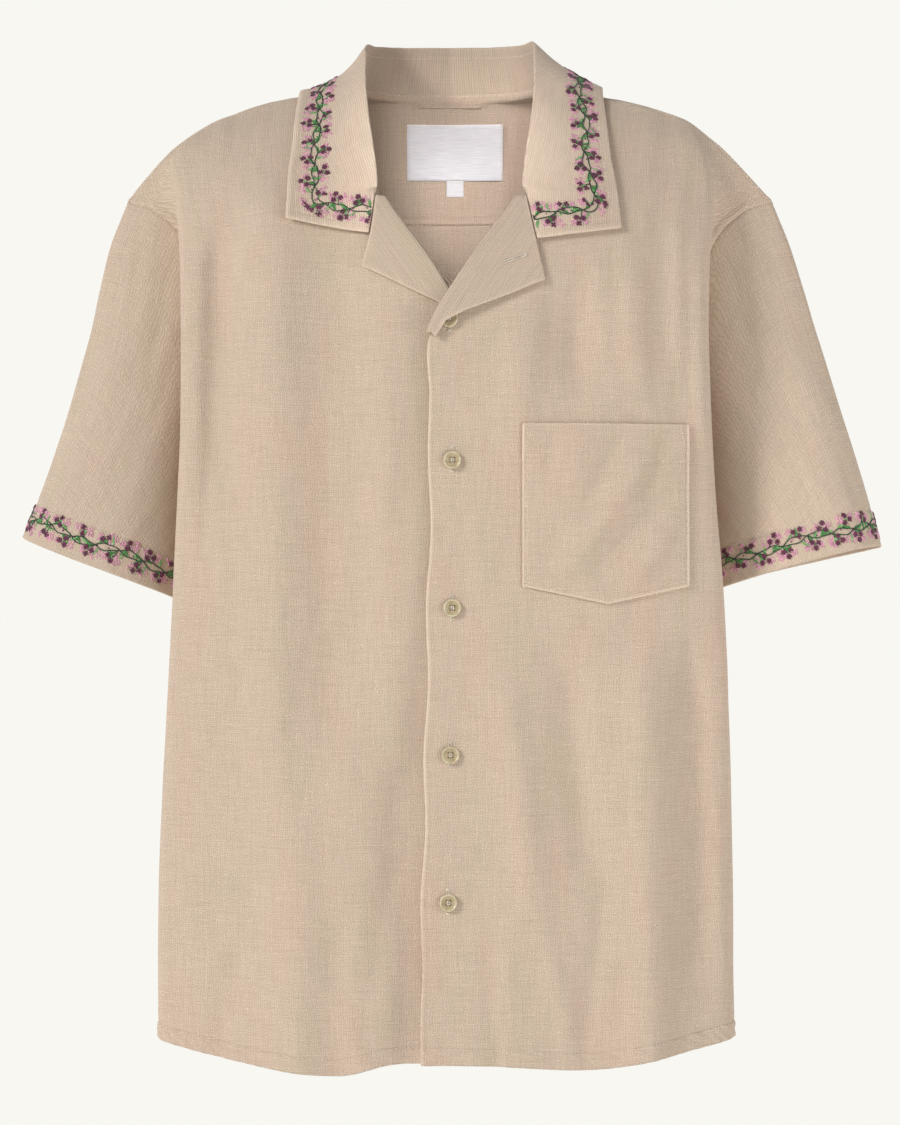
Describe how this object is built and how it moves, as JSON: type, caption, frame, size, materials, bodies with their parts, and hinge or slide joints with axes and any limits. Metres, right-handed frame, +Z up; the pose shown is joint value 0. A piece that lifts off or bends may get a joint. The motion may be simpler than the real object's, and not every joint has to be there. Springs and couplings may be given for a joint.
{
  "type": "cuban collar shirt",
  "caption": "Short-sleeved camp-collar shirt in worn form with nobody in it: open notched collar, chest pocket, straight buttoned front, embroidered collar and sleeve hems.",
  "frame": {"origin": "midway between the two points where the neck seam crosses the shoulder line, in the neck opening", "axes": "+Z up through the neck, front faces -Y, +X towards the wearer's left"},
  "size_m": [0.6597, 0.2482, 0.7864],
  "materials": {
    "cloth": "matte slubby cotton and linen weave, warm sand",
    "button": "satin horn-coloured resin",
    "label": "plain smooth woven satin, white",
    "thread_dark_green": "soft sheen embroidery thread",
    "thread_green": "soft sheen embroidery thread",
    "thread_light_green": "soft sheen embroidery thread",
    "thread_plum": "soft sheen embroidery thread",
    "thread_pink": "soft matte embroidery thread",
    "sewing_thread": "matte sewing thread, sand"
  },
  "bodies": {
    "root": {"front_left": "cloth", "front_right": "cloth", "back": "cloth", "yoke": "cloth", "sleeve_left": "cloth", "sleeve_right": "cloth", "collar": "cloth", "lapel_left": "cloth", "lapel_right": "cloth", "pocket": "cloth", "neck_label": "label", "size_tab": "label", "button_1": "button", "button_2": "button", "button_3": "button", "button_4": "button", "button_5": "button"}
  },
  "joints": []
}
